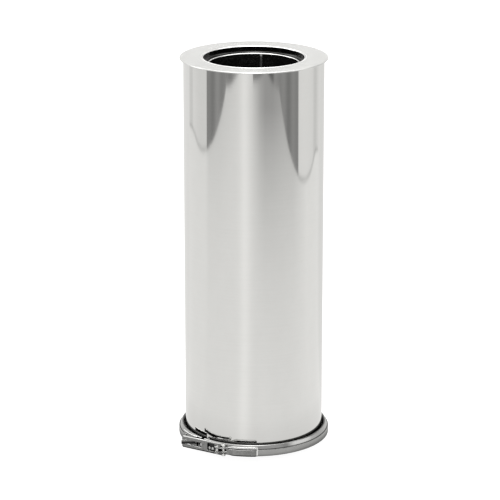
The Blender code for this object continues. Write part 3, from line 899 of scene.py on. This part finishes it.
def floor_light(azimuth, reach):
    """Brightness of the floor round the pipe, by azimuth from the camera and distance."""
    forward = reach * np.cos(np.radians(azimuth))
    across = reach * np.sin(np.radians(azimuth))

    # the sweep itself
    azimuths, near_levels, drops = zip(*SWEEP_LIGHT)
    far = np.clip(reach / 2.1, 0, 0.975)
    sweep = np.interp(azimuth, azimuths, near_levels)
    sweep = sweep - np.interp(azimuth, azimuths, drops) * far ** 2
    sweep += 0.12 * np.exp(-(((azimuth + 13.5) / 8.5) ** 2))

    # past it, a dark room in front and pale walls at the sides
    streaks = 0.03 * np.sin(np.radians(azimuth * 11)) + 0.03 * np.sin(np.radians(azimuth * 23 + 40))
    dark = 0.32 + streaks
    dark -= 0.15 * between(1.95, 2.6, 0.05, forward) * between(-0.1, 1.25, 0.1, across)
    side = 0.95 + 0.05 * np.sin(np.radians(azimuth * 5))
    side -= 0.16 * between(-128, -116, 3, azimuth) + 0.10 * between(112, 122, 3, azimuth)
    front = between(-81, 76, 1.2, azimuth)
    beyond = dark * front + side * (1 - front)

    # the sweep's outline, which bends inwards behind the pipe and is open at the front left
    left_edge = SWEEP_LEFT + 0.18 * np.clip((-forward - 0.5) / 0.55, 0, 2) ** 2
    left_edge = left_edge + 0.09 * np.clip((forward - 0.3) / 1.1, 0, 1)
    right_edge = SWEEP_RIGHT - 0.11 * np.clip((-forward - 0.65) / 0.27, 0, 2) ** 2
    front_edge = SWEEP_FRONT + 2 * (across < -0.05)
    inside = smooth_step(-SWEEP_EDGE, SWEEP_EDGE, across - left_edge)
    inside *= smooth_step(-SWEEP_EDGE, SWEEP_EDGE, right_edge - across)
    inside *= smooth_step(-0.02, 0.02, SWEEP_CORNER_LEFT - forward + across)
    inside *= smooth_step(-0.03, 0.03, SWEEP_CORNER_RIGHT - forward - across)
    inside *= smooth_step(-SWEEP_EDGE, SWEEP_EDGE, front_edge - forward)

    # a darker line along its two sides
    beside = between(76, 128, 2, np.abs(azimuth))
    outline = 1 - 0.28 * between(-0.02, 0.02, 0.012, across - left_edge) * beside
    outline *= 1 - 0.28 * between(-0.02, 0.02, 0.012, across - right_edge) * beside
    value = (sweep * inside + beyond * (1 - inside)) * outline

    # behind the pipe, and the shade round its foot
    past = smooth_step(124, 134, np.abs(azimuth))
    value = value * (1 - past) + np.interp(azimuth, *zip(*BACK_LIGHT)) * past
    under = 0.08 + 0.42 * smooth_step(0.106, 0.114, reach) + 0.50 * smooth_step(0.116, 0.136, reach)
    foot = 0.90 + 0.10 * smooth_step(0.15, 0.27, reach)
    return value * under * foot


def wall_light(azimuth, height):
    """Brightness of the studio above the floor, by azimuth and elevation in degrees."""
    turn = np.radians(azimuth)

    # walls as bright as the floor below them, up to a grey ceiling
    level = floor_light(azimuth, np.full_like(azimuth, SHELL_RADIUS))
    ceiling = 0.60 - 0.10 * np.cos(turn)
    value = level * (1 - smooth_step(12, 24, height)) + ceiling * smooth_step(12, 24, height)
    behind = (np.abs(azimuth) > 90).astype(float)
    value = np.maximum(value, behind * 1.04 * (1 - smooth_step(28, 40, height)))
    value *= 1 - 0.6 * between(100, 150, 10, azimuth) * smooth_step(24, 32, height)

    # white panels: high at the back, low in front, and one at the right
    lit = smooth_step(142, 158, azimuth) + smooth_step(-90, -88, -azimuth) * (azimuth < 0)
    value = np.maximum(value, lit * 1.70 * between(30, 66, 4, height))
    value = np.maximum(value, 0.80 * between(-40, 50, 8, azimuth) * between(14, 44, 4, height))
    value = np.maximum(value, 1.9 * between(58, 104, 10, azimuth) * between(8, 46, 6, height))

    # a long lamp overhead, with the ceiling dimmer round it
    sideways = np.sin(turn) * np.cos(np.radians(height))
    strip = smooth_step(46, 56, height) * np.exp(-((sideways / 0.22) ** 2))
    dim = 0.40 * smooth_step(60, 66, height)
    return value * (1 - dim) + 4.2 * strip


def studio_shell():
    """The surroundings that the polished metal reflects; the camera doesn't see them."""
    turns = 900
    reaches = np.concatenate([
        np.linspace(0.0, 0.16, 33)[1:], np.linspace(0.2, 1.2, 25), np.linspace(1.21, 2.4, 150),
        np.linspace(2.6, SHELL_RADIUS, 12),
    ])
    heights = np.linspace(0.5, 89.5, 90)
    azimuths = np.linspace(-180, 180, turns, endpoint=False)
    grid_azimuth, grid_reach = np.meshgrid(azimuths, reaches)
    low = floor_light(grid_azimuth, grid_reach)
    wall_azimuth, wall_height = np.meshgrid(azimuths, heights)
    high = wall_light(wall_azimuth, wall_height)
    steepness = np.radians(wall_height)
    reach = np.concatenate([grid_reach, SHELL_RADIUS * np.cos(steepness)])
    lift = np.concatenate([np.full_like(grid_reach, -0.002), SHELL_RADIUS * np.sin(steepness)])
    azimuth = np.concatenate([grid_azimuth, wall_azimuth])
    level = np.concatenate([low, high])
    turn = np.radians(azimuth) + heading
    points = np.stack([reach * np.sin(turn), -reach * np.cos(turn), lift], axis=-1).reshape(-1, 3)
    rows = reach.shape[0]
    first = np.arange(rows - 1)[:, None] * turns + np.arange(turns)[None, :]
    after = np.arange(rows - 1)[:, None] * turns + (np.arange(turns)[None, :] + 1) % turns
    quads = np.stack([first, after, after + turns, first + turns], axis=-1).reshape(-1, 4)
    mesh = bpy.data.meshes.new("studio_shell")
    mesh.from_pydata(points.tolist(), [], quads.tolist())
    colours = mesh.color_attributes.new("light", "FLOAT_COLOR", "POINT")
    flat = level.reshape(-1, 1)
    values = np.concatenate([flat, flat * 0.997, flat * 0.985, np.ones_like(flat)], axis=1)
    colours.data.foreach_set("color", values.astype(np.float32).ravel())
    material = bpy.data.materials.new("studio_shell")
    material.use_nodes = True
    tree = material.node_tree
    tree.nodes.clear()
    attribute = node(tree, "ShaderNodeVertexColor", layer_name="light")
    glow = node(tree, "ShaderNodeEmission")
    out = node(tree, "ShaderNodeOutputMaterial")
    tree.links.new(attribute.outputs["Color"], glow.inputs["Color"])
    tree.links.new(glow.outputs["Emission"], out.inputs["Surface"])
    mesh.materials.append(material)
    obj = bpy.data.objects.new("studio_shell", mesh)
    bpy.context.scene.collection.objects.link(obj)
    obj.visible_camera = False
    obj.visible_shadow = False


def studio_floor():
    """The plain pale floor that the pipe stands on."""
    solid = bmesh.new()
    bmesh.ops.create_circle(solid, cap_ends=True, segments=96, radius=FLOOR_RADIUS)
    mesh = bpy.data.meshes.new("floor")
    solid.to_mesh(mesh)
    solid.free()
    material = bpy.data.materials.new("floor")
    material.use_nodes = True
    tree = material.node_tree
    shader = tree.nodes["Principled BSDF"]
    shader.inputs["Base Color"].default_value = (0.20, 0.20, 0.198, 1)
    shader.inputs["Roughness"].default_value = 0.9
    shader.inputs["Specular IOR Level"].default_value = 0.1
    shader.inputs["Emission Color"].default_value = (1, 1, 1, 1)
    shader.inputs["Emission Strength"].default_value = 0.96
    mesh.materials.append(material)
    obj = bpy.data.objects.new("floor", mesh)
    obj.location.z = -0.0005
    obj.visible_glossy = False
    bpy.context.scene.collection.objects.link(obj)


def soft_light(name, azimuth, reach, height, aim, size, power):
    """A large lamp turned towards the pipe's axis; the azimuth is from the camera's side."""
    data = bpy.data.lights.new(name, "AREA")
    data.shape = "RECTANGLE"
    data.size, data.size_y = size
    data.energy = power
    obj = bpy.data.objects.new(name, data)
    obj.location = on_turn(reach / MM, CAMERA_AZIMUTH + azimuth, height / MM)
    obj.rotation_euler = (Vector((0, 0, aim)) - obj.location).to_track_quat("-Z", "Y").to_euler()
    bpy.context.scene.collection.objects.link(obj)


studio_shell()
studio_floor()
soft_light("overhead", 160, 0.5, 2.6, 0.3, (2.2, 2.2), 30)
soft_light("left_box", -105, 2.2, 1.6, 0.3, (0.9, 1.6), 12)

world = bpy.data.worlds.new("studio")
bpy.context.scene.world = world
world.use_nodes = True
world.node_tree.nodes["Background"].inputs["Color"].default_value = (1, 1, 1, 1)
world.node_tree.nodes["Background"].inputs["Strength"].default_value = 1.0
bpy.context.scene.view_settings.view_transform = "Standard"
